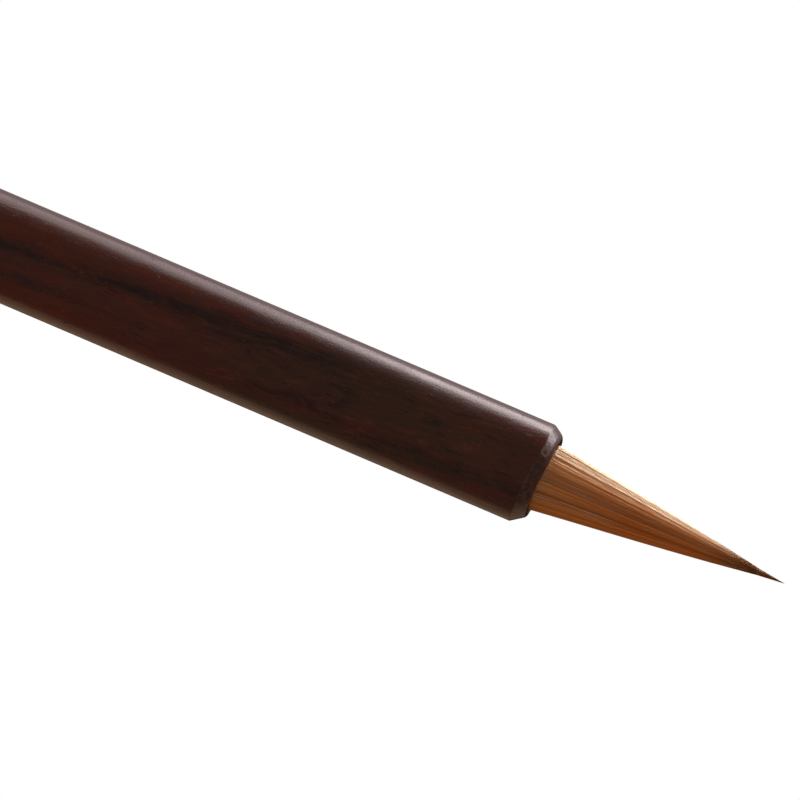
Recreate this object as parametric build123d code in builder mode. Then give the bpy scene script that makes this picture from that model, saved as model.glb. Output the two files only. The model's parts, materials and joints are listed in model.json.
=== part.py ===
"""Fine detail brush: a pointed hair tuft glued into the bored end of a slim hardwood handle.

The brush lies along X with its point towards +X. The origin is under the middle of the brush,
on the surface that it lies on, so the axis of the handle is one handle radius above it.
All sizes are in millimetres. Distances along the tuft are counted from the mouth of the
handle: positive towards the point, negative into the socket.
"""

import os

from build123d import *

# --- Driving dimensions -------------------------------------------------------------------

# whole brush
handle_diameter = 8.0
wood_length = 218.0
cap_length = 12.3
exposed_hair = 19.7

# front end of the handle
front_chamfer_length = 1.05
front_chamfer_depth = 0.71
front_edge_round = 0.22
socket_diameter = 5.6
socket_depth = 12.2
drill_cone_depth = 1.5
mouth_ease = 0.1

# tuft
tuft_diameter = 5.34
point_radius = 0.08
root_length = 11.0
bound_root_radius = 2.36
bound_length = 2.6
bound_ramp = 0.5
layer_gap = 0.01
layer_edge = 0.04

# Hair layers from the outside in: node name, outer radius at the mouth and how far the hairs reach
hair_layers = [
    ("cloak_hairs", tuft_diameter / 2, 17.5),
    ("lining_hairs_short", 2.12, 9.0),
    ("lining_hairs_medium", 1.65, 12.5),
    ("lining_hairs_long", 1.20, 15.5),
    ("pillar_hairs", 0.72, exposed_hair),
]

# what holds the tuft in the socket
thread_diameter = 0.3
thread_turns = 6
thread_pitch = 0.32
thread_clearance = 0.02
rosin_thickness = 0.6
rosin_gap = 0.02
glue_film = 0.1
glue_recess = 0.5

# rear end
rear_edge_round = 0.3
tenon_radius = 2.0
tenon_length = 8.0
tenon_hole_depth = 9.0
tenon_glue_film = 0.1
loop_hole_diameter = 1.8
loop_hole_depth = 6.0
cap_collar_length = 4.2
cap_waist_radius = 3.1
cap_waist_length = 3.4
cap_cove_depth = 0.35
cap_button_radius = 3.8
cap_end_flat_radius = 1.7
cap_edge_round = 0.25

# --- Positions worked out from them ---------------------------------------------------------

handle_radius = handle_diameter / 2
socket_radius = socket_diameter / 2
tuft_radius = tuft_diameter / 2
tenon_hole_radius = tenon_radius + tenon_glue_film
total_length = wood_length + cap_length + exposed_hair
tail_x = -total_length / 2
wood_rear_x = tail_x + cap_length
mouth_x = wood_rear_x + wood_length

brush_axis = Axis((0, 0, handle_radius), (1, 0, 0))
# Profiles are drawn here: x along the brush, y outwards from its axis
profile_plane = Plane(origin=(0, 0, handle_radius), x_dir=(1, 0, 0), z_dir=(0, -1, 0))

os.makedirs("parts", exist_ok=True)


def save(builder, name):
    """Name the finished piece and write its STEP file."""
    builder.part.label = name
    export_step(builder.part, f"parts/{name}.step")


# --- Handle -----------------------------------------------------------------------------------

front_face_radius = handle_radius - front_chamfer_depth
chamfer_start_x = mouth_x - front_chamfer_length

with BuildPart() as handle:
    with BuildSketch(profile_plane):
        with BuildLine():
            Polyline(
                (wood_rear_x, 0),
                (wood_rear_x, handle_radius),
                (chamfer_start_x, handle_radius),
                (mouth_x, front_face_radius),
                (mouth_x, 0),
                close=True,
            )
        make_face()
    revolve(axis=brush_axis)

    # hand-eased edges: the rear rim, and the two rims of the front chamfer
    rims = handle.edges().filter_by(GeomType.CIRCLE).sort_by(Axis.X)
    fillet(rims[0], rear_edge_round)
    fillet(rims[1:], front_edge_round)

    # socket for the tuft, with the cone that the drill leaves at its floor
    with BuildSketch(profile_plane):
        with BuildLine():
            Polyline(
                (mouth_x - socket_depth - drill_cone_depth, 0),
                (mouth_x - socket_depth, socket_radius),
                (mouth_x - mouth_ease, socket_radius),
                (mouth_x, socket_radius + mouth_ease),
                (mouth_x + mouth_ease, socket_radius + mouth_ease),
                (mouth_x + mouth_ease, 0),
                close=True,
            )
        make_face()
    revolve(axis=brush_axis, mode=Mode.SUBTRACT)

    # hole for the spigot of the tail cap
    with BuildSketch(profile_plane):
        with BuildLine():
            Polyline(
                (wood_rear_x - mouth_ease, 0),
                (wood_rear_x - mouth_ease, tenon_hole_radius),
                (wood_rear_x + tenon_hole_depth, tenon_hole_radius),
                (wood_rear_x + tenon_hole_depth + drill_cone_depth, 0),
                close=True,
            )
        make_face()
    revolve(axis=brush_axis, mode=Mode.SUBTRACT)

save(handle, "handle")

# --- Tail cap: collar, cove, rounded button and spigot --------------------------------------------

collar_front_x = wood_rear_x
collar_rear_x = collar_front_x - cap_collar_length
waist_rear_x = collar_rear_x - cap_waist_length

with BuildPart() as tail_cap:
    with BuildSketch(profile_plane):
        with BuildLine():
            Line((tail_x, 0), (tail_x, cap_end_flat_radius))
            # the button swells from the flat end to its full width, then falls to the cove
            ThreePointArc(
                (tail_x, cap_end_flat_radius),
                ((tail_x + waist_rear_x) / 2, cap_button_radius),
                (waist_rear_x, cap_waist_radius),
            )
            ThreePointArc(
                (waist_rear_x, cap_waist_radius),
                ((waist_rear_x + collar_rear_x) / 2, cap_waist_radius - cap_cove_depth),
                (collar_rear_x, handle_radius - cap_edge_round),
            )
            Polyline(
                (collar_rear_x, handle_radius - cap_edge_round),
                (collar_rear_x + cap_edge_round, handle_radius),
                (collar_front_x - cap_edge_round, handle_radius),
                (collar_front_x, handle_radius - cap_edge_round),
                (collar_front_x, tenon_radius),
                (collar_front_x + tenon_length, tenon_radius),
                (collar_front_x + tenon_length, 0),
                (tail_x, 0),
            )
        make_face()
    revolve(axis=brush_axis)

    # blind hole that takes the two ends of a hanging loop
    with BuildSketch(Plane(origin=(tail_x, 0, handle_radius), z_dir=(1, 0, 0))):
        Circle(loop_hole_diameter / 2)
    extrude(amount=loop_hole_depth, mode=Mode.SUBTRACT)

save(tail_cap, "tail_cap")

with BuildPart() as tenon_glue:
    with BuildSketch(Plane(origin=(wood_rear_x, 0, handle_radius), z_dir=(1, 0, 0))):
        Circle(tenon_hole_radius)
        Circle(tenon_radius, mode=Mode.SUBTRACT)
    extrude(amount=tenon_length)

save(tenon_glue, "tenon_glue")

# --- Tuft: nested layers of hair -----------------------------------------------------------------


def radius_at(skin, distance):
    """Radius of a skin, which is a list of (distance, radius) points, at one distance."""
    for (near, near_radius), (far, far_radius) in zip(skin, skin[1:]):
        if near <= distance <= far:
            return near_radius + (far_radius - near_radius) * (distance - near) / (far - near)
    raise ValueError("the skin does not reach that far")


# The skin is the surface that the next layer lies inside: first the outer cone of the tuft
skin = [(0, tuft_radius), (exposed_hair, point_radius)]
core_radii = [radius for _, radius, _ in hair_layers[1:]] + [0]

for (layer_name, _, reach), core_radius in zip(hair_layers, core_radii):
    gap = 0 if layer_name == "cloak_hairs" else layer_gap
    outside = [point for point in skin if point[0] < reach] + [(reach, radius_at(skin, reach))]
    end_radius = outside[-1][1] - layer_edge if core_radius else 0

    with BuildPart() as hair_layer:
        with BuildSketch(profile_plane):
            with BuildLine():
                Polyline(
                    (mouth_x - root_length, core_radius),
                    (mouth_x - root_length, outside[0][1] - gap),
                    *[(mouth_x + distance, radius - gap) for distance, radius in outside],
                    (mouth_x + reach, end_radius),
                    *([(mouth_x, core_radius)] if core_radius else []),
                    close=True,
                )
            make_face()
        revolve(axis=brush_axis)

        # the thread draws the outer layer in round its root
        if layer_name == "cloak_hairs":
            bound_front_x = mouth_x - root_length + bound_length
            with BuildSketch(profile_plane):
                with BuildLine():
                    Polyline(
                        (mouth_x - root_length, bound_root_radius),
                        (bound_front_x, bound_root_radius),
                        (bound_front_x + bound_ramp, tuft_radius),
                        (mouth_x - root_length, tuft_radius),
                        close=True,
                    )
                make_face()
            revolve(axis=brush_axis, mode=Mode.SUBTRACT)

    save(hair_layer, layer_name)
    skin = [(0, core_radius), (reach, end_radius)] + [point for point in skin if point[0] > reach]

# --- What holds the tuft ----------------------------------------------------------------------------

# the binding thread, wound side by side round the hair roots
thread_radius = thread_diameter / 2
coil_radius = bound_root_radius + thread_clearance + thread_radius
coil_length = thread_turns * thread_pitch
coil_start = (mouth_x - root_length + (bound_length - coil_length) / 2, 0, handle_radius)

with BuildPart() as root_thread:
    with BuildLine():
        coil = Helix(thread_pitch, coil_length, coil_radius, center=coil_start, direction=(1, 0, 0))
    with BuildSketch(Plane(origin=coil @ 0, z_dir=coil % 0)):
        Circle(thread_radius)
    sweep()

save(root_thread, "root_thread")

# the disc of rosin melted over the cut root ends
rosin_front_x = mouth_x - root_length - rosin_gap

with BuildPart() as rosin_seal:
    with BuildSketch(Plane(origin=(rosin_front_x, 0, handle_radius), z_dir=(-1, 0, 0))):
        Circle(bound_root_radius)
    extrude(amount=rosin_thickness)
    fillet(rosin_seal.edges().sort_by(Axis.X)[0], rosin_thickness / 2)

save(rosin_seal, "rosin_seal")

# the glue film between the bundle and the wall of the socket
with BuildPart() as socket_glue:
    with BuildSketch(Plane(origin=(mouth_x - glue_recess, 0, handle_radius), z_dir=(-1, 0, 0))):
        Circle(socket_radius)
        Circle(socket_radius - glue_film, mode=Mode.SUBTRACT)
    extrude(amount=root_length - glue_recess)

save(socket_glue, "socket_glue")
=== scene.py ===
"""Fine detail brush: the looks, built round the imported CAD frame. All lengths are in metres."""
import json
import math

import bpy
import numpy as np
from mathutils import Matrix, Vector, noise


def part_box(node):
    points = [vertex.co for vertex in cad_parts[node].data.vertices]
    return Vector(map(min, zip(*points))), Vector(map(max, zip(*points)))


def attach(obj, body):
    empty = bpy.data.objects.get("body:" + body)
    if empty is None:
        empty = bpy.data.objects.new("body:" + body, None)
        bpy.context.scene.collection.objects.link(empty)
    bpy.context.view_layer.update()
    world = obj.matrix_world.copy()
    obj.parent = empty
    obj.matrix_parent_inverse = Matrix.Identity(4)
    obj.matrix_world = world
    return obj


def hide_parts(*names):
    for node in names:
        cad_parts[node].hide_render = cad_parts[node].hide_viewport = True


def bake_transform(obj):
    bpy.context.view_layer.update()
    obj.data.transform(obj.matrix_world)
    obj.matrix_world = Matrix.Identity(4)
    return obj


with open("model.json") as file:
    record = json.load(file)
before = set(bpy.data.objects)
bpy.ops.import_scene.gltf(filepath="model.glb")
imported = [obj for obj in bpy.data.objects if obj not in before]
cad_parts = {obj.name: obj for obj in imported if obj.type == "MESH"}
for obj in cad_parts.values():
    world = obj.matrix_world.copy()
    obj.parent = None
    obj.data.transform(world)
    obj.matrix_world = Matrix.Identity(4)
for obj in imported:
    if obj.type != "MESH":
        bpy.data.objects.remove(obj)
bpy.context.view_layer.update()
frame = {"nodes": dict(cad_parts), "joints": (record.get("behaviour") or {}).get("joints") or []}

MM = 0.001

# --- Sizes from the frame -----------------------------------------------------------------------

handle_low, handle_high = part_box("handle")
cap_low, cap_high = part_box("tail_cap")
REAR_X = handle_low.x
MOUTH_X = handle_high.x
TAIL_X = cap_low.x
SPIGOT_END_X = cap_high.x
ROOT_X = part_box("cloak_hairs")[0].x
POINT_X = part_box("pillar_hairs")[1].x
HINGE_X = frame["joints"][0]["pos_m"][0]
HANDLE_RADIUS = (handle_high.z - handle_low.z) / 2
AXIS_Z = (handle_high.z + handle_low.z) / 2
EXPOSED = POINT_X - MOUTH_X


def radius_of(node):
    """Radius of a CAD node that is round about the brush's axis."""
    low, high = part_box(node)
    return (high.z - low.z) / 2


SOCKET_RADIUS = radius_of("socket_glue")
TENON_HOLE_RADIUS = radius_of("tenon_glue")

# --- Camera -------------------------------------------------------------------------------------

CAMERA_AZIMUTH = math.radians(23.59)
CAMERA_ELEVATION = math.radians(77.42)
CAMERA_DISTANCE = 1.0
VIEW_WIDTH = 60.12 * MM
MOUTH_RIGHT_OF_CENTRE = 10.87 * MM
MOUTH_BELOW_CENTRE = 5.87 * MM
SENSOR_MM = 36.0
CLIP_END = 20.0

# Unit vectors of the view: towards the camera, to the picture's right and to its top
view_back = Vector((
    math.sin(CAMERA_AZIMUTH) * math.cos(CAMERA_ELEVATION),
    -math.cos(CAMERA_AZIMUTH) * math.cos(CAMERA_ELEVATION),
    math.sin(CAMERA_ELEVATION),
))
view_right = Vector((math.cos(CAMERA_AZIMUTH), math.sin(CAMERA_AZIMUTH), 0))
view_up = view_back.cross(view_right)
mouth_centre = Vector((MOUTH_X, 0, AXIS_Z))
aim = mouth_centre - view_right * MOUTH_RIGHT_OF_CENTRE + view_up * MOUTH_BELOW_CENTRE

camera_data = bpy.data.cameras.new("camera")
camera_data.sensor_width = SENSOR_MM
camera_data.lens = SENSOR_MM * CAMERA_DISTANCE / VIEW_WIDTH
camera_data.clip_end = CLIP_END
camera = bpy.data.objects.new("camera", camera_data)
camera.rotation_mode = "QUATERNION"
camera.location = aim + view_back * CAMERA_DISTANCE
camera.rotation_quaternion = view_back.to_track_quat("Z", "Y")
bpy.context.scene.collection.objects.link(camera)
bpy.context.scene.camera = camera
bpy.context.scene.view_settings.view_transform = "Standard"

# Angles round the brush's axis are counted from +Y towards +Z. FACING points at the camera, and
# UPPER_SIDE at the picture's top.
FACING = math.atan2(view_back.z, view_back.y)
UPPER_SIDE = FACING - math.pi / 2


def around(x, radius, angle):
    """The point at this distance from the brush's axis and this angle round it."""
    return Vector((x, radius * math.cos(angle), AXIS_Z + radius * math.sin(angle)))


# --- Light --------------------------------------------------------------------------------------


def soft_box(name, x, degrees, distance, length, width, power, colour=(1, 1, 1)):
    """A soft light beside the brush, facing its axis.

    degrees are counted round the axis, from the camera's side towards the picture's top.
    length runs along the brush, and width round it.
    """
    data = bpy.data.lights.new(name, "AREA")
    data.shape = "RECTANGLE"
    data.size = length
    data.size_y = width
    data.energy = power
    data.color = colour
    light = bpy.data.objects.new(name, data)
    light.rotation_mode = "QUATERNION"
    light.location = around(x, distance, FACING - math.radians(degrees))
    to_axis = around(x, 0, 0) - light.location
    light.rotation_quaternion = to_axis.to_track_quat("-Z", "Y")
    light.visible_camera = False
    bpy.context.scene.collection.objects.link(light)
    return light


KEY_TINT = (1, 0.87, 0.88)
HIGH_RIM_TINT = (1, 0.86, 0.84)
LOW_RIM_TINT = (1, 0.64, 0.42)
SHEEN_TINT = (0.80, 0.96, 1.0)
FRONT_KEY_X = MOUTH_X + 0.076
TUFT_LIGHTS_X = MOUTH_X - 0.018

# the bright band along the wood
soft_box("long_key", x=0, degrees=116.5, distance=0.25,
         length=0.9, width=0.15, power=0.72, colour=KEY_TINT)
soft_box("front_key", x=FRONT_KEY_X, degrees=119, distance=0.21,
         length=0.218, width=0.075, power=0.28, colour=KEY_TINT)
# the sheen on the tuft
hair_lights = (
    soft_box("tuft_key", x=TUFT_LIGHTS_X, degrees=118, distance=0.19,
             length=0.10, width=0.07, power=0.31, colour=SHEEN_TINT),
    soft_box("tuft_rim", x=TUFT_LIGHTS_X, degrees=139, distance=0.17,
             length=0.10, width=0.08, power=0.35, colour=SHEEN_TINT),
)
# soft light from beyond both ends of the brush
soft_box("tail_end_light", x=-0.55, degrees=0, distance=0.45, length=0.4, width=0.5, power=0.75)
soft_box("tip_end_light", x=0.65, degrees=0, distance=0.45, length=0.4, width=0.5, power=0.15)
# rims along the wood's upper and lower edges, the lower one warm
soft_box("high_rim", x=0, degrees=152, distance=0.30,
         length=0.9, width=0.20, power=0.21, colour=HIGH_RIM_TINT)
soft_box("low_rim", x=0, degrees=-138, distance=0.30,
         length=0.9, width=0.26, power=0.26, colour=LOW_RIM_TINT)

# The tuft's pair of lights leave the polished wood beside it alone, and give its hairs only their
# sheen. They cast no shadows, so the sheen is even across the gaps between the hairs.
hair_only = bpy.data.collections.new("hair_only")
for light in hair_lights:
    light.light_linking.receiver_collection = hair_only
    light.data.use_shadow = False
    light.visible_diffuse = False

# The world is plain white to the camera, a softer even light on surfaces, and nearly black in
# reflections, so that the polished wood stays dark
EVEN_LIGHT = 0.72
DIM_REFLECTIONS = 0.005

world = bpy.data.worlds.new("studio")
world.use_nodes = True
world.cycles.sampling_method = "NONE"
bpy.context.scene.world = world
world_tree = world.node_tree
ray = world_tree.nodes.new("ShaderNodeLightPath")


def by_ray(ray_kind, then, otherwise):
    """A strength that depends on the kind of ray that reaches the world."""
    choice = world_tree.nodes.new("ShaderNodeMix")
    world_tree.links.new(ray.outputs[ray_kind], choice.inputs["Factor"])
    choice.inputs["B"].default_value = then
    if isinstance(otherwise, float):
        choice.inputs["A"].default_value = otherwise
    else:
        world_tree.links.new(otherwise, choice.inputs["A"])
    return choice.outputs["Result"]


strength = by_ray("Is Camera Ray", 1.0, by_ray("Is Diffuse Ray", EVEN_LIGHT, DIM_REFLECTIONS))
background = world_tree.nodes["Background"]
background.inputs["Color"].default_value = (1, 1, 1, 1)
world_tree.links.new(strength, background.inputs["Strength"])


# --- Materials ----------------------------------------------------------------------------------


class Finish:
    """One procedural material, built node by node round its Principled shader."""

    def __init__(self, name):
        self.material = bpy.data.materials.new(name)
        self.material.use_nodes = True
        self.tree = self.material.node_tree
        self.shader = self.tree.nodes["Principled BSDF"]
        self.place = self.add("TexCoord").outputs["Object"]

    def feed(self, node, inputs):
        """Sets each input socket to a value, or links it if the value is another node's socket."""
        for socket, value in inputs.items():
            if isinstance(value, bpy.types.NodeSocket):
                self.tree.links.new(value, node.inputs[socket])
            else:
                node.inputs[socket].default_value = value

    def add(self, kind, inputs=None, **settings):
        """A new shader node with these settings and inputs."""
        node = self.tree.nodes.new("ShaderNode" + kind)
        for key, value in settings.items():
            setattr(node, key, value)
        self.feed(node, inputs or {})
        return node

    def scaled(self, per_metre, place=None):
        """Coordinates with this many units per metre along X, Y and Z."""
        return self.add("Mapping", {"Vector": place or self.place, "Scale": per_metre}).outputs[0]

    def noise(self, per_metre, detail=2.0, roughness=0.5, distortion=0.0, place=None):
        """Smooth noise, about 0.3 to 0.7, with this many features per metre along X, Y and Z."""
        inputs = {"Vector": self.scaled(per_metre, place), "Scale": 1.0, "Detail": detail,
                  "Roughness": roughness, "Distortion": distortion}
        return self.add("TexNoise", inputs).outputs["Fac"]

    def ease(self, value, low, high, start=0.0, end=1.0):
        """Goes smoothly from start to end as value goes from low to high."""
        inputs = {"Value": value, "From Min": low, "From Max": high, "To Min": start, "To Max": end}
        return self.add("MapRange", inputs, interpolation_type="SMOOTHSTEP").outputs["Result"]

    def math(self, operation, *values):
        """One arithmetic operation on numbers or sockets."""
        return self.add("Math", dict(enumerate(values)), operation=operation).outputs[0]

    def mix(self, share, first, second):
        """Blends two colours, given as triples or sockets."""
        node = self.add("Mix", data_type="RGBA")
        colour = [c if isinstance(c, bpy.types.NodeSocket) else (*c, 1) for c in (first, second)]
        self.feed(node, {0: share, 6: colour[0], 7: colour[1]})
        return node.outputs[2]

    def vector(self, operation, place, other, output="Value"):
        """One operation on a place and a fixed vector."""
        node = self.add("VectorMath", {0: place, 1: tuple(other)}, operation=operation)
        return node.outputs[output]

    def attribute(self, name):
        """A float attribute of the mesh."""
        return self.add("Attribute", attribute_name=name).outputs["Fac"]

    def bump(self, height, distance, strength=1.0, over=None):
        """Raises the surface with height, on top of another bump if one is given."""
        inputs = {"Height": height, "Distance": distance, "Strength": strength}
        if over:
            inputs["Normal"] = over
        return self.add("Bump", inputs).outputs["Normal"]

    def finish(self, **inputs):
        """Feeds the Principled shader: keyword names are its sockets, with _ for a space."""
        self.feed(self.shader, {name.replace("_", " "): value for name, value in inputs.items()})
        return self.material


# Grain and marks of the wood. The vein and the knot are on the side that faces the camera.
GRAIN_TILT = math.radians(3.9)
VEIN_CROSSING_X = MOUTH_X - 48 * MM
VEIN_HALF_WIDTH = 1.2 * MM
VEIN_WANDER = 0.5 * MM
KNOT_POINT = around(MOUTH_X - 0.62 * MM, HANDLE_RADIUS - 0.35 * MM, FACING - math.radians(29))
KNOT_RADIUS = 0.37 * MM
KNOT_HALF_WIDTH = 0.07 * MM
KNOT_WOBBLE = 0.16 * MM

BROWN = (0.036, 0.0120, 0.0044)
RED_BROWN = (0.043, 0.0082, 0.0036)
RED_FIGURE = (0.058, 0.0095, 0.0036)
DARK_MOTTLE = (0.016, 0.0045, 0.0015)
PALE_MOTTLE = (0.078, 0.0200, 0.0090)
REAR_RED = (0.060, 0.0068, 0.0015)
DARK_STREAK = (0.013, 0.0065, 0.0050)
DARK_VEIN = (0.011, 0.0065, 0.0055)
PALE_GRAIN = (0.065, 0.020, 0.0100)
PALE_SPECKLE = (0.085, 0.036, 0.022)
PORE_BLACK = (0.005, 0.003, 0.0025)
END_GRAIN_DARK = (0.032, 0.0100, 0.0045)
END_GRAIN_PALE = (0.060, 0.0190, 0.0090)
KNOT_PALE = (0.105, 0.055, 0.034)


def dark_vein(wood, x, wander, mottle):
    """Strength of a dark sheet through the wood, which comes to the surface on the camera's side.

    It crosses the middle of the handle at VEIN_CROSSING_X, fades out towards the mouth, and is
    broken up by the mottling.
    """
    from_axis = wood.vector("SUBTRACT", wood.place, (0, 0, AXIS_Z), output="Vector")
    height = wood.vector("DOT_PRODUCT", from_axis, (0, math.sin(FACING), -math.cos(FACING)))
    out = wood.vector("DOT_PRODUCT", from_axis, (0, math.cos(FACING), math.sin(FACING)))
    rise = wood.math("MULTIPLY", wood.math("SUBTRACT", x, VEIN_CROSSING_X), math.tan(GRAIN_TILT))
    middle = wood.math("ADD", rise, wood.ease(wander, 0.3, 0.7, -VEIN_WANDER, VEIN_WANDER))
    off = wood.math("ABSOLUTE", wood.math("SUBTRACT", height, middle))
    sheet = wood.math("MULTIPLY", wood.ease(off, VEIN_HALF_WIDTH, 0.1 * MM), wood.ease(out, 0, 2 * MM))
    fading = wood.ease(x, MOUTH_X - 10 * MM, MOUTH_X - 20 * MM, 0, 0.75)
    broken = wood.math("MULTIPLY", fading, wood.ease(mottle, 0.34, 0.56, 0.25, 1.0))
    return wood.math("MULTIPLY", sheet, broken)


def knot_ring(wood):
    """1 on the uneven ring of the knot, 0 away from it."""
    wobble = wood.math("MULTIPLY", wood.noise((3000, 3000, 3000), detail=1), KNOT_WOBBLE)
    centred = wood.math("SUBTRACT", wobble, KNOT_WOBBLE / 2)
    away = wood.math("ADD", wood.vector("DISTANCE", wood.place, KNOT_POINT), centred)
    off = wood.math("ABSOLUTE", wood.math("SUBTRACT", away, KNOT_RADIUS))
    return wood.ease(off, KNOT_HALF_WIDTH * 1.3, KNOT_HALF_WIDTH * 0.4)


def open_pores(wood):
    """1 in the wood's open pores, which lie closer together in some patches than in others."""
    pore_field = wood.noise((1300, 6000, 6000), detail=1)
    pore_patch = wood.noise((120, 700, 700), detail=1)
    threshold = wood.ease(pore_patch, 0.35, 0.65, 0.85, 0.70)
    return wood.ease(wood.math("SUBTRACT", pore_field, threshold), 0.0, 0.035)


def side_grain(wood, tilted, mottle, speckle):
    """Colour along the grain: redder patches, mottling, blackish streaks, the vein and fine grain."""
    x = wood.add("SeparateXYZ", {"Vector": wood.place}).outputs["X"]
    figure = wood.noise((60, 260, 260), detail=3, roughness=0.6, distortion=1.0, place=tilted)
    hue = wood.noise((45, 330, 330), detail=2, distortion=0.5, place=tilted)
    streaks = wood.noise((22, 330, 330), detail=3, roughness=0.55, distortion=0.5, place=tilted)
    fine_grain = wood.noise((500, 4200, 4200), detail=2, place=tilted)
    redness = wood.ease(x, MOUTH_X - 22 * MM, MOUTH_X - 38 * MM, 0, 0.5)

    colour = wood.mix(wood.ease(hue, 0.38, 0.62), BROWN, RED_BROWN)
    colour = wood.mix(wood.ease(figure, 0.45, 0.68, 0, 0.65), colour, RED_FIGURE)
    colour = wood.mix(wood.ease(mottle, 0.50, 0.70, 0, 0.6), colour, DARK_MOTTLE)
    colour = wood.mix(wood.ease(mottle, 0.46, 0.30, 0, 0.45), colour, PALE_MOTTLE)
    colour = wood.mix(redness, colour, REAR_RED)
    colour = wood.mix(wood.ease(streaks, 0.54, 0.70, 0, 0.40), colour, DARK_STREAK)
    colour = wood.mix(dark_vein(wood, x, streaks, mottle), colour, DARK_VEIN)
    colour = wood.mix(wood.ease(fine_grain, 0.40, 0.75, 0, 0.22), colour, PALE_GRAIN)
    return wood.mix(wood.ease(speckle, 0.64, 0.76, 0, 0.25), colour, PALE_SPECKLE)


def rosewood():
    """Dark, oil-polished hardwood with open pores, and end grain where the front end is cut."""
    wood = Finish("rosewood")
    tilted = wood.add("Mapping", {"Vector": wood.place, "Rotation": (0, 0, -GRAIN_TILT)}).outputs[0]
    mottle = wood.noise((300, 1100, 1100), detail=4, roughness=0.65, distortion=0.8, place=tilted)
    speckle = wood.noise((2600, 5200, 5200), detail=1)
    vessels = wood.noise((2600, 3400, 3400), detail=2, roughness=0.6)
    pores = open_pores(wood)
    cut = wood.attribute("cut")

    sides = side_grain(wood, tilted, mottle, speckle)
    pored_sides = wood.mix(wood.math("MULTIPLY", pores, 0.85), sides, PORE_BLACK)
    end_grain = wood.mix(wood.ease(vessels, 0.42, 0.62), END_GRAIN_DARK, END_GRAIN_PALE)
    knotted = wood.mix(knot_ring(wood), end_grain, KNOT_PALE)
    colour = wood.mix(wood.math("MULTIPLY", cut, 0.8), pored_sides, knotted)

    uneven = wood.bump(mottle, 0.05 * MM, 0.5)
    speckled = wood.bump(speckle, 0.018 * MM, 0.5, over=uneven)
    pored = wood.bump(wood.math("SUBTRACT", 1.0, pores), 0.05 * MM, 0.35, over=speckled)
    surface = wood.bump(wood.math("MULTIPLY", vessels, cut), 0.05 * MM, 0.5, over=pored)
    polish = wood.ease(mottle, 0.3, 0.7, 0.25, 0.37)
    dull = wood.math("ADD", wood.math("MULTIPLY", cut, 0.06), wood.math("MULTIPLY", pores, 0.35))
    return wood.finish(Base_Color=colour, Roughness=wood.math("ADD", polish, dull), Normal=surface,
                       IOR=1.5, Coat_Weight=0.25, Coat_Roughness=0.16)


HORN_BLACK = (0.008, 0.006, 0.005)
HORN_BROWN = (0.020, 0.013, 0.010)
HORN_STREAK = (0.085, 0.050, 0.028)


def horn():
    """Polished dark horn with faint paler streaks along its length."""
    dark = Finish("horn")
    veins = dark.noise((90, 600, 600), detail=3, distortion=0.6)
    cloud = dark.noise((200, 300, 300), detail=2)
    body = dark.mix(dark.ease(cloud, 0.35, 0.65), HORN_BLACK, HORN_BROWN)
    colour = dark.mix(dark.ease(veins, 0.55, 0.72, 0, 0.7), body, HORN_STREAK)
    scratches = dark.noise((3000, 1500, 1500), detail=1)
    return dark.finish(Base_Color=colour, Roughness=dark.ease(scratches, 0.3, 0.7, 0.16, 0.26),
                       Normal=dark.bump(scratches, 0.004 * MM, 0.3), Coat_Weight=0.3)


PALE_HAIR = (0.62, 0.21, 0.035)
DARK_HAIR = (0.105, 0.019, 0.001)
HAIR_SHEEN = (1.0, 0.64, 0.31, 1.0)


def hair(name, root, middle, tip, roughness):
    """Fine straight animal hair. Each hair has its own tone, and the colour changes along the tuft."""
    fibre = Finish(name)
    along = fibre.attribute("along")
    tone = fibre.attribute("tone")
    lower = fibre.mix(fibre.ease(along, 0.0, 0.35), root, middle)
    body = fibre.mix(fibre.ease(along, 0.60, 0.90), lower, tip)
    paler = fibre.mix(fibre.ease(tone, 0.5, 0.9, 0, 0.42), body, PALE_HAIR)
    colour = fibre.mix(fibre.ease(tone, 0.1, 0.5, 0.65, 0), paler, DARK_HAIR)
    return fibre.finish(Base_Color=colour, Roughness=roughness, IOR=1.9, Specular_IOR_Level=0.85,
                        Specular_Tint=HAIR_SHEEN)


def clear_amber(name, pale, deep, roughness):
    """Set glue or rosin: amber, a little cloudy, with a slightly uneven skin."""
    resin = Finish(name)
    cloud = resin.noise((500, 500, 500), detail=3)
    skin = resin.noise((1400, 1400, 1400), detail=2)
    colour = resin.mix(resin.ease(cloud, 0.35, 0.65), pale, deep)
    unevenness = resin.ease(skin, 0.3, 0.7, roughness, roughness + 0.15)
    return resin.finish(Base_Color=colour, Roughness=unevenness,
                        Normal=resin.bump(skin, 0.02 * MM, 0.5), Transmission_Weight=0.25)


LINEN_DARK = (0.36, 0.28, 0.17)
LINEN_PALE = (0.66, 0.56, 0.40)


def thread():
    """Waxed linen thread: fine plies lying across the winding."""
    linen = Finish("linen_thread")
    plies = linen.noise((9000, 2500, 2500), detail=2, distortion=0.4)
    colour = linen.mix(linen.ease(plies, 0.35, 0.65), LINEN_DARK, LINEN_PALE)
    return linen.finish(Base_Color=colour, Roughness=0.7, Normal=linen.bump(plies, 0.03 * MM, 0.8),
                        Sheen_Weight=0.2)


def pale_floor():
    """An evenly white table, which gives its own light and so shows no shadow."""
    white = bpy.data.materials.new("pale_floor")
    white.use_nodes = True
    tree = white.node_tree
    tree.nodes.remove(tree.nodes["Principled BSDF"])
    even = tree.nodes.new("ShaderNodeEmission")
    tree.links.new(even.outputs[0], tree.nodes["Material Output"].inputs["Surface"])
    return white


# --- Mesh building ------------------------------------------------------------------------------

SHARP_ANGLE = math.radians(40)


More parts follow.
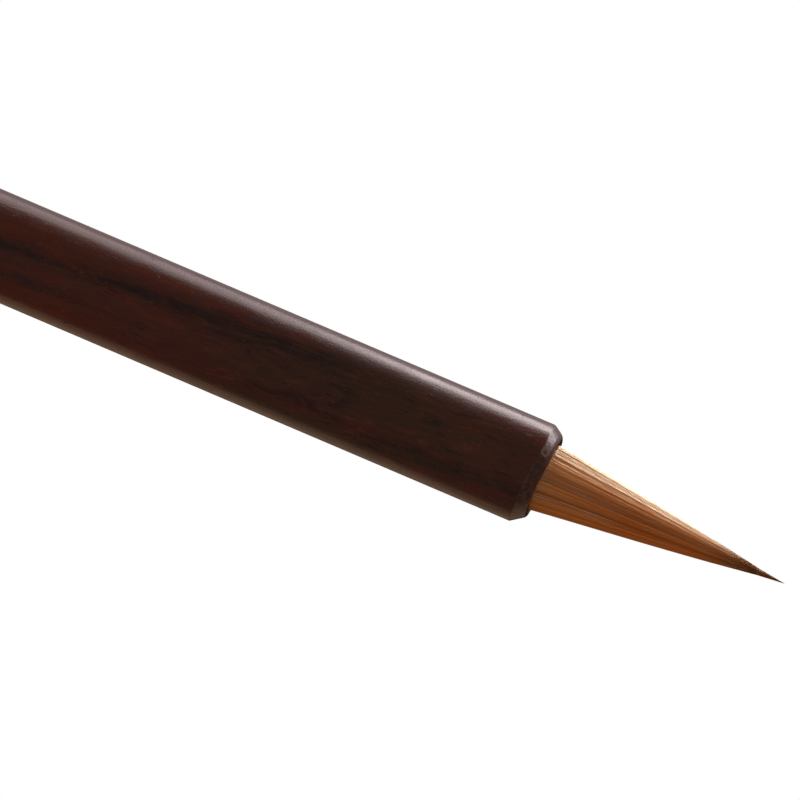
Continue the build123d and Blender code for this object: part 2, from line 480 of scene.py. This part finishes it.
def new_piece(name, points, faces, material, attributes=None):
    """A smooth-shaded mesh object from points and faces, with float attributes on its points."""
    mesh = bpy.data.meshes.new(name)
    mesh.from_pydata([tuple(p) for p in points], [], faces)
    mesh.materials.append(material)
    mesh.shade_smooth()
    for key, values in (attributes or {}).items():
        layer = mesh.attributes.new(key, "FLOAT", "POINT")
        layer.data.foreach_set("value", np.asarray(values, np.float32))
    piece = bpy.data.objects.new(name, mesh)
    bpy.context.scene.collection.objects.link(piece)
    return piece


def lathe(name, outline, columns, material, row_values=None):
    """A closed solid round the brush's axis.

    outline(angle) gives (x, radius) points, of which the first and the last are on the axis.
    row_values holds float attributes: each list has one value for every point of the outline.
    """
    outlines = [outline(2 * math.pi * k / columns) for k in range(columns)]
    rows = len(outlines[0]) - 2
    points = [(outlines[0][0][0], 0, AXIS_Z), (outlines[0][-1][0], 0, AXIS_Z)]
    for k, column in enumerate(outlines):
        points += [around(x, radius, 2 * math.pi * k / columns) for x, radius in column[1:-1]]
    faces = []
    for k in range(columns):
        here = 2 + k * rows
        there = 2 + (k + 1) % columns * rows
        faces.append((0, there, here))
        faces += [(here + j, there + j, there + j + 1, here + j + 1) for j in range(rows - 1)]
        faces.append((1, here + rows - 1, there + rows - 1))
    attributes = {
        key: [values[0], values[-1], *(list(values[1:-1]) * columns)]
        for key, values in (row_values or {}).items()
    }
    piece = new_piece(name, points, faces, material, attributes)
    piece.data.set_sharp_from_angle(angle=SHARP_ANGLE)
    return piece


def ripple(angle, lobes, seed):
    """Smooth unevenness round the brush, about -0.5 to 0.5, with roughly this many lobes."""
    reach = lobes / (2 * math.pi)
    return noise.noise(Vector((reach * math.cos(angle), reach * math.sin(angle), seed)))


def eased_corner(before, corner, after, reach, steps):
    """Points of a corner worn round, starting and ending at this reach from it."""
    corner, before, after = Vector(corner), Vector(before), Vector(after)
    start = corner + (before - corner).normalized() * reach
    end = corner + (after - corner).normalized() * reach
    shares = [k / steps for k in range(steps + 1)]
    return [tuple(start * (1 - t) ** 2 + corner * 2 * t * (1 - t) + end * t**2) for t in shares]


def straight(start, end, steps):
    """Evenly spaced points strictly between two points."""
    start, end = Vector(start), Vector(end)
    return [tuple(start.lerp(end, k / steps)) for k in range(1, steps)]


def arc_through(first, middle, last, steps):
    """Points of the arc from first to last through middle, both ends included."""
    (ax, ay), (bx, by), (cx, cy) = first, middle, last
    d = 2 * (ax * (by - cy) + bx * (cy - ay) + cx * (ay - by))
    a2, b2, c2 = ax**2 + ay**2, bx**2 + by**2, cx**2 + cy**2
    centre_x = (a2 * (by - cy) + b2 * (cy - ay) + c2 * (ay - by)) / d
    centre_y = (a2 * (cx - bx) + b2 * (ax - cx) + c2 * (bx - ax)) / d
    radius = math.hypot(ax - centre_x, ay - centre_y)
    begin, pass_by, arrive = (math.atan2(y - centre_y, x - centre_x) for x, y in (first, middle, last))
    # the last angle is moved by whole turns until the middle one lies between it and the first
    turn = math.copysign(2 * math.pi, pass_by - begin)
    while (arrive - begin) * turn < 0 or abs(arrive - begin) < abs(pass_by - begin):
        arrive += turn
    angles = np.linspace(begin, arrive, steps + 1)
    return [(centre_x + radius * math.cos(t), centre_y + radius * math.sin(t)) for t in angles]


# --- Handle -------------------------------------------------------------------------------------

REAR_ROUND = 0.3 * MM
CHAMFER_LENGTH = 1.05 * MM
CHAMFER_DEPTH = 0.71 * MM
SOCKET_DEPTH = 12.2 * MM
DRILL_CONE = 1.5 * MM
TENON_HOLE_DEPTH = 9.0 * MM
MOUTH_EASE = 0.1 * MM
MOUTH_TILT = 0.15 * MM
POLISH_WAVE_LENGTH = 11 * MM
POLISH_WAVE_DEPTH = 0.003 * MM
POLISH_WAVES_ROUND = 1.3
FACE_UNEVENNESS = 0.12 * MM

# Points of the outline: rings along the shaft, rings just before the chamfer, and steps of a corner
HANDLE_COLUMNS = 256
SHAFT_RINGS = 180
SHAFT_RINGS_END = MOUTH_X - 2.4 * MM
FRONT_RINGS = (MOUTH_X - 2.1 * MM, MOUTH_X - 1.85 * MM, MOUTH_X - 1.65 * MM)
CORNER_STEPS = 8


def polished_radius(x, angle):
    """The handle's radius, with the faint waviness that hand polishing leaves."""
    round_y = POLISH_WAVES_ROUND * math.cos(angle)
    round_z = POLISH_WAVES_ROUND * math.sin(angle)
    wave = noise.noise(Vector((x / POLISH_WAVE_LENGTH, round_y, round_z)))
    return HANDLE_RADIUS - POLISH_WAVE_DEPTH * (1 + wave)


def shaft_outline(angle):
    """The wood's section at one angle, up to the chamfer: spigot hole, rear rim and shaft."""
    hole_floor = (REAR_X + TENON_HOLE_DEPTH, TENON_HOLE_RADIUS)
    hole_lip = (REAR_X, TENON_HOLE_RADIUS)
    rear_face = (REAR_X, 0)
    rear_rim = (REAR_X, HANDLE_RADIUS)
    front_rim = (MOUTH_X, HANDLE_RADIUS)
    outline = [(hole_floor[0] + DRILL_CONE, 0), hole_floor]
    outline += [*straight(hole_floor, hole_lip, 4), hole_lip]
    outline += eased_corner(rear_face, rear_rim, front_rim, REAR_ROUND, 6)[:-1]
    for x in (*np.linspace(REAR_X + REAR_ROUND, SHAFT_RINGS_END, SHAFT_RINGS), *FRONT_RINGS):
        outline.append((x, polished_radius(x, angle)))
    return outline


def front_outline(angle):
    """The rest of the section: a hand-cut chamfer, a leaning face, and the socket with a chipped lip.

    The chamfer is narrower, and its rim is worn rounder, on the picture's upper side.
    """
    upper = 0.5 + 0.5 * math.cos(angle - UPPER_SIDE)
    length_share = 1 - 0.18 * upper + 0.16 * ripple(angle, lobes=5, seed=1.7)
    depth_share = 1 - 0.16 * upper + 0.10 * ripple(angle, lobes=4, seed=5.2)
    shoulder_ease = MM * (0.05 + 0.10 * upper + 0.04 * ripple(angle, lobes=9, seed=8.1))
    rim_ease = MM * (0.12 + 0.34 * upper)
    lean = MOUTH_TILT * math.cos(angle - UPPER_SIDE)
    face_x = MOUTH_X + lean - FACE_UNEVENNESS * abs(ripple(angle, lobes=6, seed=3.3))
    chipping = max(0.0, ripple(angle, lobes=34, seed=2.4))
    chip = MOUTH_EASE * (0.6 + 1.6 * chipping + 0.5 * ripple(angle, lobes=11, seed=6.0))

    shoulder_x = face_x - CHAMFER_LENGTH * length_share
    shoulder = (shoulder_x, polished_radius(shoulder_x, angle))
    rim = (face_x, HANDLE_RADIUS - CHAMFER_DEPTH * depth_share)
    lip = (face_x, SOCKET_RADIUS + chip)
    socket_front = (face_x - chip, SOCKET_RADIUS)
    socket_floor = (MOUTH_X - SOCKET_DEPTH, SOCKET_RADIUS)
    rim_ease = min(rim_ease, (rim[1] - lip[1]) * 0.8)

    outline = eased_corner((REAR_X, shoulder[1]), shoulder, rim, shoulder_ease, CORNER_STEPS)
    outline += eased_corner(shoulder, rim, lip, rim_ease, CORNER_STEPS)
    outline += [lip, socket_front, *straight(socket_front, socket_floor, 6)]
    outline += [socket_floor, (socket_floor[0] - DRILL_CONE, 0)]
    return outline


def handle_outline(angle):
    """The wood's whole section at one angle."""
    return shaft_outline(angle) + front_outline(angle)


# the cut surface starts in the middle of the chamfer's shoulder, and takes in the socket
first_cut_row = len(shaft_outline(0)) + CORNER_STEPS // 2
cut_rows = [float(row >= first_cut_row) for row in range(len(handle_outline(0)))]
wood_handle = lathe("wood_handle", handle_outline, HANDLE_COLUMNS, rosewood(), {"cut": cut_rows})
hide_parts("handle")
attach(wood_handle, "handle")

# --- Tail cap -----------------------------------------------------------------------------------

CAP_COLLAR = 4.2 * MM
CAP_COVE = 3.4 * MM
CAP_COVE_DEPTH = 0.35 * MM
CAP_WAIST_RADIUS = 3.1 * MM
CAP_BUTTON_RADIUS = 3.8 * MM
CAP_END_FLAT = 1.7 * MM
CAP_EDGE = 0.25 * MM
LOOP_HOLE_RADIUS = 0.9 * MM
LOOP_HOLE_DEPTH = 6.0 * MM
LOOP_HOLE_EASE = 0.08 * MM
SPIGOT_RADIUS = 2.0 * MM
CAP_COLUMNS = 160


def cap_outline(_angle):
    """The cap's section, the same all round: loop hole, button, cove, collar and spigot."""
    collar_rear_x = REAR_X - CAP_COLLAR
    waist_x = collar_rear_x - CAP_COVE
    hole_floor = (TAIL_X + LOOP_HOLE_DEPTH, LOOP_HOLE_RADIUS)
    hole_lip = (TAIL_X, LOOP_HOLE_RADIUS)
    button_start = (TAIL_X, CAP_END_FLAT)
    button_top = ((TAIL_X + waist_x) / 2, CAP_BUTTON_RADIUS)
    waist = (waist_x, CAP_WAIST_RADIUS)
    cove_bottom = ((waist_x + collar_rear_x) / 2, CAP_WAIST_RADIUS - CAP_COVE_DEPTH)
    cove_end = (collar_rear_x, HANDLE_RADIUS - CAP_EDGE)
    collar_rear = (collar_rear_x, HANDLE_RADIUS)
    collar_front = (REAR_X, HANDLE_RADIUS)
    spigot_root = (REAR_X, SPIGOT_RADIUS)
    spigot_end = (SPIGOT_END_X, SPIGOT_RADIUS)

    outline = [(hole_floor[0], 0), hole_floor, *straight(hole_floor, hole_lip, 5)]
    outline += eased_corner(hole_floor, hole_lip, button_start, LOOP_HOLE_EASE, 3)
    outline += straight((TAIL_X, LOOP_HOLE_RADIUS + LOOP_HOLE_EASE), button_start, 4)
    outline += arc_through(button_start, button_top, waist, 36)
    outline += arc_through(waist, cove_bottom, cove_end, 24)[1:]
    outline += eased_corner((collar_rear_x, 0), collar_rear, collar_front, CAP_EDGE, 6)[1:]
    outline += straight((collar_rear_x + CAP_EDGE, HANDLE_RADIUS), (REAR_X - CAP_EDGE, HANDLE_RADIUS), 8)
    outline += eased_corner(collar_rear, collar_front, (REAR_X, 0), CAP_EDGE, 6)
    outline += [spigot_root, *straight(spigot_root, spigot_end, 6), spigot_end]
    return [*outline, (SPIGOT_END_X, 0)]


horn_cap = lathe("horn_cap", cap_outline, CAP_COLUMNS, horn())
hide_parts("tail_cap")
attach(horn_cap, "handle")

# --- Hair ---------------------------------------------------------------------------------------

# Hair layers from the outside in: CAD node, number of hairs, their thickness, and the shortest
# hair's share of the layer's reach
LAYERS = (
    ("cloak_hairs", 1250, 0.070 * MM, 0.80),
    ("lining_hairs_short", 420, 0.075 * MM, 0.75),
    ("lining_hairs_medium", 420, 0.075 * MM, 0.75),
    ("lining_hairs_long", 420, 0.070 * MM, 0.75),
    ("pillar_hairs", 520, 0.065 * MM, 0.90),
)
FIRST_SEED = 11

# the tuft's outer shape
LAYER_EDGE = 0.04 * MM
POINT_RADIUS = 0.02 * MM
FULLNESS = 0.05 * MM
POINT_LEAN = 0.26 * MM
MOUTH_OFFSET = -0.04 * MM
LEAN_ANGLE = UPPER_SIDE + math.pi

# one hair: a tube with rings of points in the socket, in the bend and in its free part
STRAND_SIDES = 5
RINGS_IN_SOCKET = 3
RINGS_IN_BEND = 8
FREE_RING_SHARES = (0.3, 0.6, 0.83, 1.0)
LAST_SOCKET_RING = -0.4 * MM
LONGEST_BEND_SHARE = 0.7
TAPER_SHARES = (0, 0.35, 0.7, 0.88, 1)
TAPER_GIRTHS = (0.95, 1.0, 1.0, 0.62, 0.1)
TIP_TUCK = 0.12
TIP_TUCK_START = 0.9
TIP_TUCK_LENGTH = 0.1

# how the hairs are spread: round the tuft and through the layer's thickness in two sequences that
# never repeat, and crowded towards the layer's outside
ROUND_SEQUENCE = 0.6180339887
DEPTH_SEQUENCE = 0.7548776662
OUTWARD_CROWDING = 0.30
DRIFT = math.radians(1.5)
SWAY = math.radians(0.25)
SWAY_LENGTH = 5 * MM

# how much single hairs differ: in length (a beta distribution), place, girth and tone
LENGTH_SPREAD = (1.3, 2.2)
ANGLE_SPREAD = 0.012
DEPTH_SPREAD = 0.2
GIRTH_SPREAD = (0.8, 1.2)
TONE_SPREAD = 0.12

# the stretch about the tuft's hinge, which starts just outside the mouth
BEND_END = HINGE_X - MOUTH_X + 5 * MM

# grooves between the locks of hair, as (angle round the tuft, half width, depth): a deep one
# between the camera's side and the picture's top, and shallow ones all round
DEEP_GROOVE = (math.radians(61.6), math.radians(5.0), 0.050 * MM)
SHALLOW_GROOVES = 17
GROOVE_SEED = 4


def layer_shapes():
    """Each layer's reach, inner skin and outer skin. A skin is a list of (distance, radius) points."""
    reaches = [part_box(node)[1].x - MOUTH_X for node, *_ in LAYERS]
    radii = [radius_of(node) for node, *_ in LAYERS]
    skin = [(0.0, radii[0]), (EXPOSED, POINT_RADIUS)]
    shapes = []
    for reach, core in zip(reaches, radii[1:] + [0.0]):
        end = float(np.interp(reach, *zip(*skin)))
        inner = [(0.0, core), (reach, max(0.0, end - LAYER_EDGE) if core else 0.0)]
        beyond = [point for point in skin if point[0] > reach]
        shapes.append((reach, inner, skin))
        skin = inner + beyond
    return shapes


def make_grooves():
    """The deep groove and the shallow ones."""
    rng = np.random.default_rng(GROOVE_SEED)
    made = [DEEP_GROOVE]
    for k in range(SHALLOW_GROOVES):
        centre = 2 * math.pi * (k + rng.uniform(-0.4, 0.4)) / SHALLOW_GROOVES
        made.append((centre, math.radians(rng.uniform(2.0, 5.0)), rng.uniform(0.004, 0.02) * MM))
    return made


grooves = make_grooves()
layer_reach_and_skins = layer_shapes()


def relief(angle, distance):
    """How far the tuft's surface sinks in its grooves. They fade out towards the point."""
    depth = np.zeros_like(angle)
    for centre, width, deep in grooves:
        away = (angle - centre + math.pi) % (2 * math.pi) - math.pi
        depth += deep * np.exp(-((away / width) ** 2))
    return depth * np.clip(1 - distance / EXPOSED, 0, 1)


def ring_distances(reach):
    """Distances from the mouth of the rings of points of hairs with these reaches.

    In the bend all the hairs have their rings at the same places.
    """
    in_socket = np.linspace(ROOT_X - MOUTH_X, LAST_SOCKET_RING, RINGS_IN_SOCKET)
    socket = np.tile(in_socket, (len(reach), 1))
    bend_end = np.minimum(BEND_END, LONGEST_BEND_SHARE * reach)[:, None]
    bend = np.linspace(0, 1, RINGS_IN_BEND) * bend_end
    free = bend_end + np.array(FREE_RING_SHARES) * (reach[:, None] - bend_end)
    return np.concatenate([socket, bend, free], axis=1)


def tube_faces(count, rings):
    """Faces of closed tubes whose points are numbered hair by hair and ring by ring."""
    sides = range(STRAND_SIDES)
    faces = []
    for k in range(count):
        root = k * rings * STRAND_SIDES
        tip = root + (rings - 1) * STRAND_SIDES
        faces.append(tuple(root + j for j in reversed(sides)))
        for low in range(root, tip, STRAND_SIDES):
            high = low + STRAND_SIDES
            for j in sides:
                next_j = (j + 1) % STRAND_SIDES
                faces.append((low + j, low + next_j, high + next_j, high + j))
        faces.append(tuple(tip + j for j in sides))
    return faces


def strands(name, layer, material):
    """One layer of separate tapered hairs, from the root ends in the socket to their own tips."""
    node, count, thickness, shortest = LAYERS[layer]
    longest, inner, outer = layer_reach_and_skins[layer]
    rng = np.random.default_rng(FIRST_SEED + layer)
    root = ROOT_X - MOUTH_X
    reach = longest * (1 - (1 - shortest) * rng.beta(*LENGTH_SPREAD, count))
    distance = ring_distances(reach)
    rings = distance.shape[1]
    out = np.clip(distance, 0, None)
    share = (distance - root) / (reach[:, None] - root)

    order = np.arange(count)
    angle = 2 * math.pi * (order * ROUND_SEQUENCE % 1) + rng.normal(0, ANGLE_SPREAD, count)
    drift = rng.normal(0, DRIFT, count)[:, None]
    sway = rng.uniform(0, 2 * math.pi, count)[:, None]
    angle = angle[:, None] + drift * out / EXPOSED + SWAY * np.sin(out / SWAY_LENGTH + sway)

    girth = thickness / 2 * rng.uniform(*GIRTH_SPREAD, count)[:, None]
    girth = girth * np.interp(share, TAPER_SHARES, TAPER_GIRTHS)
    depth = (order * DEPTH_SEQUENCE + rng.uniform(0, DEPTH_SPREAD, count)) % 1
    outwardness = depth[:, None] ** OUTWARD_CROWDING
    belly = FULLNESS * np.sin(math.pi * np.clip(out / EXPOSED, 0, 1)) ** 2
    inner_radius = np.interp(out, *zip(*inner))
    outer_radius = np.interp(out, *zip(*outer)) + belly
    radius = np.sqrt(inner_radius**2 + outwardness * (outer_radius**2 - inner_radius**2))
    tucked = 1 - TIP_TUCK * np.clip((share - TIP_TUCK_START) / TIP_TUCK_LENGTH, 0, 1) ** 2
    radius = np.clip(radius - girth - relief(angle, out), 0, None) * tucked

    lean = MOUTH_OFFSET + POINT_LEAN * out / EXPOSED
    x = MOUTH_X + distance
    y = radius * np.cos(angle) + lean * math.cos(LEAN_ANGLE)
    z = AXIS_Z + radius * np.sin(angle) + lean * math.sin(LEAN_ANGLE)
    side = 2 * math.pi * np.arange(STRAND_SIDES) / STRAND_SIDES
    turn = side[None, None, :] + rng.uniform(0, 1, count)[:, None, None]
    ring_x = np.repeat(x[:, :, None], STRAND_SIDES, axis=2)
    ring_y = y[:, :, None] + girth[:, :, None] * np.cos(turn)
    ring_z = z[:, :, None] + girth[:, :, None] * np.sin(turn)
    points = np.stack([ring_x, ring_y, ring_z], axis=-1).reshape(-1, 3)

    # hairs of one lock have about the same tone
    broad = [ripple(a, lobes=24, seed=7.7) for a in angle[:, 0]]
    narrow = [ripple(a, lobes=60, seed=1.1) for a in angle[:, 0]]
    lock = 0.5 + 0.40 * np.array(broad) + 0.35 * np.array(narrow)
    tone = np.clip(lock + rng.normal(0, TONE_SPREAD, count), 0, 1)
    attributes = {
        "along": np.repeat(np.clip(distance / EXPOSED, 0, 1).reshape(-1), STRAND_SIDES),
        "tone": np.repeat(tone, rings * STRAND_SIDES),
    }

    piece = new_piece(name, points, tube_faces(count, rings), material, attributes)
    hair_only.objects.link(piece)
    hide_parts(node)
    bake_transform(piece)


golden = hair("weasel_hair", root=(0.350, 0.078, 0.004), middle=(0.325, 0.060, 0.001),
              tip=(0.120, 0.020, 0.001), roughness=0.28)
paler = hair("belly_hair", root=(0.46, 0.22, 0.080), middle=(0.40, 0.16, 0.045),
             tip=(0.18, 0.060, 0.020), roughness=0.45)

strands("cloak_strands", 0, golden)
strands("short_lining_strands", 1, paler)
strands("medium_lining_strands", 2, paler)
strands("long_lining_strands", 3, paler)
strands("pillar_strands", 4, golden)

# --- Carried-over CAD nodes ---------------------------------------------------------------------


def refinish(node, material):
    """Gives a CAD node that stays in view a better material."""
    mesh = frame["nodes"][node].data
    mesh.materials.clear()
    mesh.materials.append(material)


glue = clear_amber("hide_glue", pale=(0.50, 0.28, 0.08), deep=(0.30, 0.14, 0.035), roughness=0.22)
rosin = clear_amber("rosin", pale=(0.42, 0.16, 0.02), deep=(0.20, 0.06, 0.008), roughness=0.12)
refinish("socket_glue", glue)
refinish("tenon_glue", glue)
refinish("rosin_seal", rosin)
refinish("root_thread", thread())

# --- Floor --------------------------------------------------------------------------------------

FLOOR_HALF = 10.0
corners = [(x * FLOOR_HALF, y * FLOOR_HALF, 0) for x, y in ((-1, -1), (1, -1), (1, 1), (-1, 1))]
floor = new_piece("floor", corners, [(0, 1, 2, 3)], pale_floor())
# only the camera sees it: it lights nothing, and light from below passes through it
floor.visible_diffuse = False
floor.visible_glossy = False
floor.visible_shadow = False
floor.visible_transmission = False
